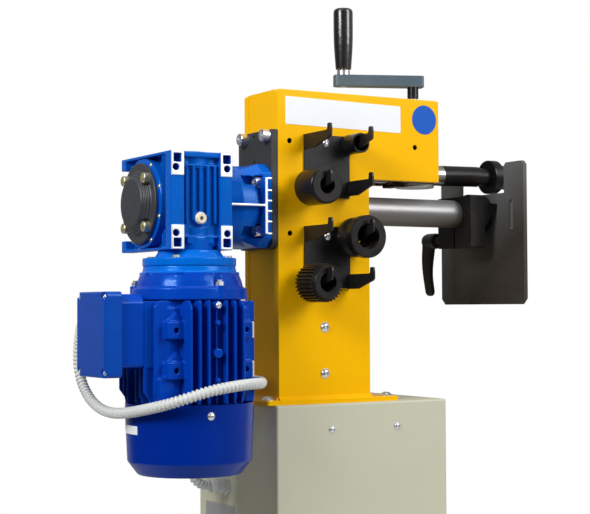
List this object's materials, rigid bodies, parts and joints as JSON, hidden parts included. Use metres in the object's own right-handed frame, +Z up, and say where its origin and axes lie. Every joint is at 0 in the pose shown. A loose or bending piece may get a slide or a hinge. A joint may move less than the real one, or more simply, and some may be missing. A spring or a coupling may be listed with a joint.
{
  "type": "beading machine",
  "caption": "Motor-driven beading machine: geared motor on a steel column, crank-pressed upper roll, lower roll, sliding depth guide and tool racks, on a floor cabinet.",
  "frame": {"origin": "centre of the floor plate's underside", "axes": "+Z up, +X along the roll shafts towards the rolls, -Y towards the operator at the tool racks"},
  "size_m": [0.6756, 0.3913, 1.341],
  "materials": {
    "yellow_paint": "satin paint",
    "cabinet_paint": "fine textured paint",
    "blue_paint": "gloss paint",
    "black_steel": "black oxide",
    "black_paint": "satin black paint",
    "bright_steel": "turned and ground",
    "zinc": "bright zinc",
    "yellow_zinc": "yellow zinc",
    "cast_iron": "dark casting",
    "bronze": "turned bronze",
    "gloss_black": "moulded gloss",
    "black_nylon": "moulded matt",
    "grey_conduit": "ribbed PVC",
    "cream_plastic": "moulded",
    "electrics": "moulded light grey"
  },
  "bodies": {
    "root": {"adapter_plate": "black_paint", "base_plate": "yellow_paint", "bearings": "bronze", "button_screws": "zinc", "cabinet_back_panel": "cabinet_paint", "cabinet_body": "cabinet_paint", "cap_screws": "zinc", "column_side_plates": "yellow_paint", "column_web_plates": "yellow_paint", "conduit": "grey_conduit", "conduit_glands": "grey_conduit", "electrics_plate": "electrics", "end_cap_bolts": "yellow_zinc", "fan_cowl": "blue_paint", "foot_plate": "cabinet_paint", "gearbox_covers": "blue_paint", "gearbox_housing": "blue_paint", "head_top_plate": "yellow_paint", "lower_tube": "bright_steel", "motor_flange": "blue_paint", "motor_frame": "blue_paint", "motor_front_shield": "blue_paint", "motor_rear_shield": "blue_paint", "motor_stator": "cast_iron", "oil_plug": "cream_plastic", "output_end_cap": "cast_iron", "output_flange": "blue_paint", "press_nut": "bronze", "stored_flanged_roll": "black_steel", "stored_knurled_roll": "black_steel", "stored_plain_roll": "black_steel", "stored_sleeve": "black_steel", "terminal_box": "blue_paint", "terminal_box_lid": "blue_paint", "tool_racks": "black_paint", "upper_rear_housing": "black_steel", "weld_seams": "yellow_paint"},
    "motor_shaft": {"motor_rotor": "bright_steel", "motor_fan": "black_nylon"},
    "lower_roll_shaft": {"lower_shaft": "bright_steel", "lower_gear": "black_steel", "worm_wheel": "bronze", "lower_roll": "black_steel", "lower_roll_fittings": "black_steel"},
    "upper_arm": {"upper_front_block": "black_steel", "upper_bearings": "bronze", "block_foot_disc": "bright_steel", "lift_springs": "bright_steel"},
    "upper_roll_shaft": {"upper_shaft": "bright_steel", "upper_gear": "black_steel", "upper_roll": "black_steel", "upper_roll_fittings": "black_steel"},
    "press_feed": {"press_pad": "black_steel"},
    "crank": {"press_spindle": "bright_steel", "crank_arm": "black_paint", "crank_grip_pin": "bright_steel"},
    "crank_handle": {"crank_grip": "gloss_black"},
    "depth_guide": {"clamp_block": "black_steel", "guide_plate": "black_steel"},
    "guide_lever": {"clamp_lever": "black_nylon"}
  },
  "joints": [
    {"name": "motor_spin", "type": "hinge", "parent": "root", "child": "motor_shaft", "pos_m": [-0.251, -0.0975, 0.876], "axis": [0, 0, 1], "continuous": true},
    {"name": "lower_shaft_spin", "type": "hinge", "parent": "root", "child": "lower_roll_shaft", "pos_m": [-0.021, -0.0475, 1.056], "axis": [1, 0, 0], "continuous": true},
    {"name": "upper_arm_tilt", "type": "hinge", "parent": "root", "child": "upper_arm", "pos_m": [-0.074, -0.0475, 1.106], "axis": [0, -1, 0], "range_deg": [-1.12, 0.6]},
    {"name": "upper_shaft_spin", "type": "hinge", "parent": "upper_arm", "child": "upper_roll_shaft", "pos_m": [-0.074, -0.0475, 1.106], "axis": [0.9999, 0, 0.0158], "continuous": true},
    {"name": "spindle_feed", "type": "slide", "parent": "root", "child": "press_feed", "axis": [0, 0, 1], "range_m": [-0.0039, 0.0021]},
    {"name": "crank_turn", "type": "hinge", "parent": "press_feed", "child": "crank", "pos_m": [0.1235, -0.0475, 1.206], "axis": [0, 0, 1], "range_deg": [-680, 360]},
    {"name": "crank_grip_spin", "type": "hinge", "parent": "crank", "child": "crank_handle", "pos_m": [0.03256, -0.00965, 1.296], "axis": [0, 0, 1], "continuous": true},
    {"name": "guide_slide", "type": "slide", "parent": "root", "child": "depth_guide", "axis": [1, 0, 0], "range_m": [-0.168, 0.004]},
    {"name": "clamp_lever_turn", "type": "hinge", "parent": "depth_guide", "child": "guide_lever", "pos_m": [0.2057, 0.0025, 1.0206], "axis": [0, 1, 0], "range_deg": [-20, 95]}
  ],
  "couplings": [
    {"joint": "lower_shaft_spin", "follows": "motor_spin", "ratio": 0.025},
    {"joint": "upper_shaft_spin", "follows": "motor_spin", "ratio": -0.025},
    {"joint": "spindle_feed", "follows": "crank_turn", "m_per_rad": 0.00031831},
    {"joint": "upper_arm_tilt", "follows": "crank_turn", "ratio": 0.0016117}
  ]
}
